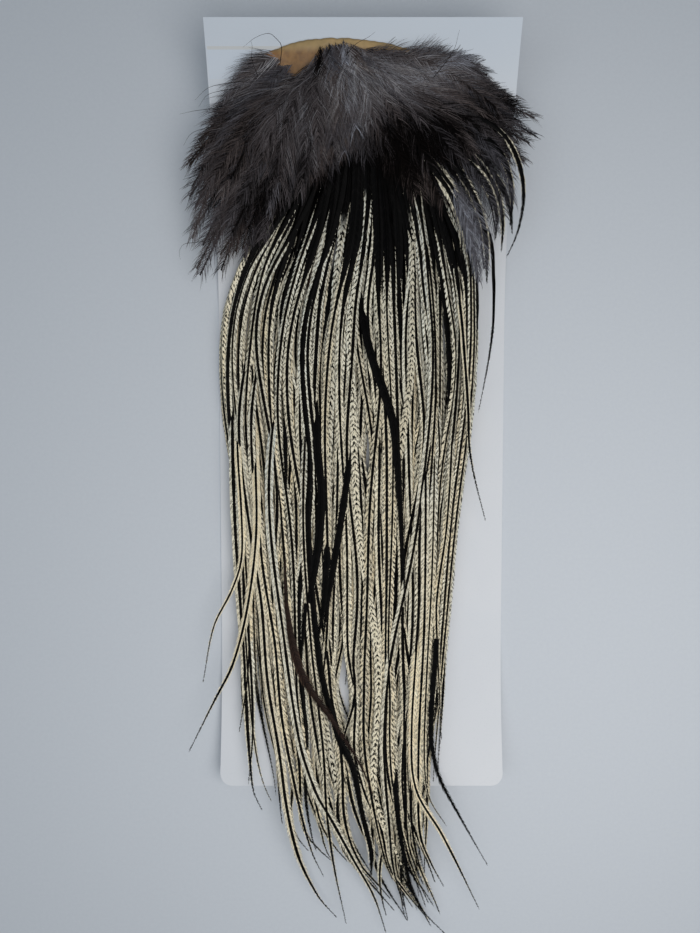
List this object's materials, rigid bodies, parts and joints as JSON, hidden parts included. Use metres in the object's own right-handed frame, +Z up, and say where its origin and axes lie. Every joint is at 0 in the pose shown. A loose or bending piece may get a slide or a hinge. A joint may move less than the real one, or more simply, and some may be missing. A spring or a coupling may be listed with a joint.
{
  "type": "rooster saddle patch",
  "caption": "Carded patch of rooster saddle hide with long barred hackles trailing past the card and short webby down fanned over their roots.",
  "frame": {"origin": "middle of the backing card, on the flat part of its underside", "axes": "+Y towards the hide end, -Y towards the feather tips, +X to the right seen from above with the hide away from the viewer, +Z up through the feathers"},
  "size_m": [0.1379, 0.368, 0.0356],
  "materials": {
    "card": "plain white board, matt",
    "hide": "dried bare skin, tan with rust patches",
    "hackle": "glossy long feathers, cream to grey with a dark centre line and fine bars",
    "down": "soft webby feathers, grey brown to black"
  },
  "bodies": {
    "root": {"backing_card": "card", "hide": "hide", "saddle_hackle_01": "hackle", "saddle_hackle_02": "hackle", "saddle_hackle_03": "hackle", "saddle_hackle_04": "hackle", "saddle_hackle_05": "hackle", "saddle_hackle_06": "hackle", "saddle_hackle_07": "hackle", "saddle_hackle_08": "hackle", "saddle_hackle_09": "hackle", "saddle_hackle_10": "hackle", "saddle_hackle_11": "hackle", "saddle_hackle_12": "hackle", "saddle_hackle_13": "hackle", "saddle_hackle_14": "hackle", "saddle_hackle_15": "hackle", "saddle_hackle_16": "hackle", "saddle_hackle_17": "hackle", "saddle_hackle_18": "hackle", "saddle_hackle_19": "hackle", "saddle_hackle_20": "hackle", "saddle_hackle_21": "hackle", "saddle_hackle_22": "hackle", "saddle_hackle_23": "hackle", "saddle_hackle_24": "hackle", "saddle_hackle_25": "hackle", "saddle_hackle_26": "hackle", "saddle_hackle_27": "hackle", "saddle_hackle_28": "hackle", "saddle_hackle_29": "hackle", "saddle_hackle_30": "hackle", "saddle_hackle_31": "hackle", "saddle_hackle_32": "hackle", "saddle_hackle_33": "hackle", "stray_hackle_left_upper": "hackle", "stray_hackle_left_lower": "hackle", "stray_hackle_right_upper": "hackle", "stray_hackle_right_middle": "hackle", "stray_hackle_right_lower": "hackle", "stray_hackle_right_tail": "hackle", "stray_hackle_dark_tail": "hackle", "brown_hackle": "hackle", "down_tuft_01": "down", "down_tuft_02": "down", "down_tuft_03": "down", "down_tuft_04": "down", "down_tuft_05": "down", "down_tuft_06": "down", "down_tuft_07": "down", "down_tuft_08": "down", "down_tuft_09": "down", "down_tuft_10": "down", "down_tuft_11": "down", "down_tuft_12": "down", "down_tuft_13": "down", "down_tuft_14": "down", "down_tuft_15": "down", "down_tuft_16": "down"}
  },
  "joints": []
}
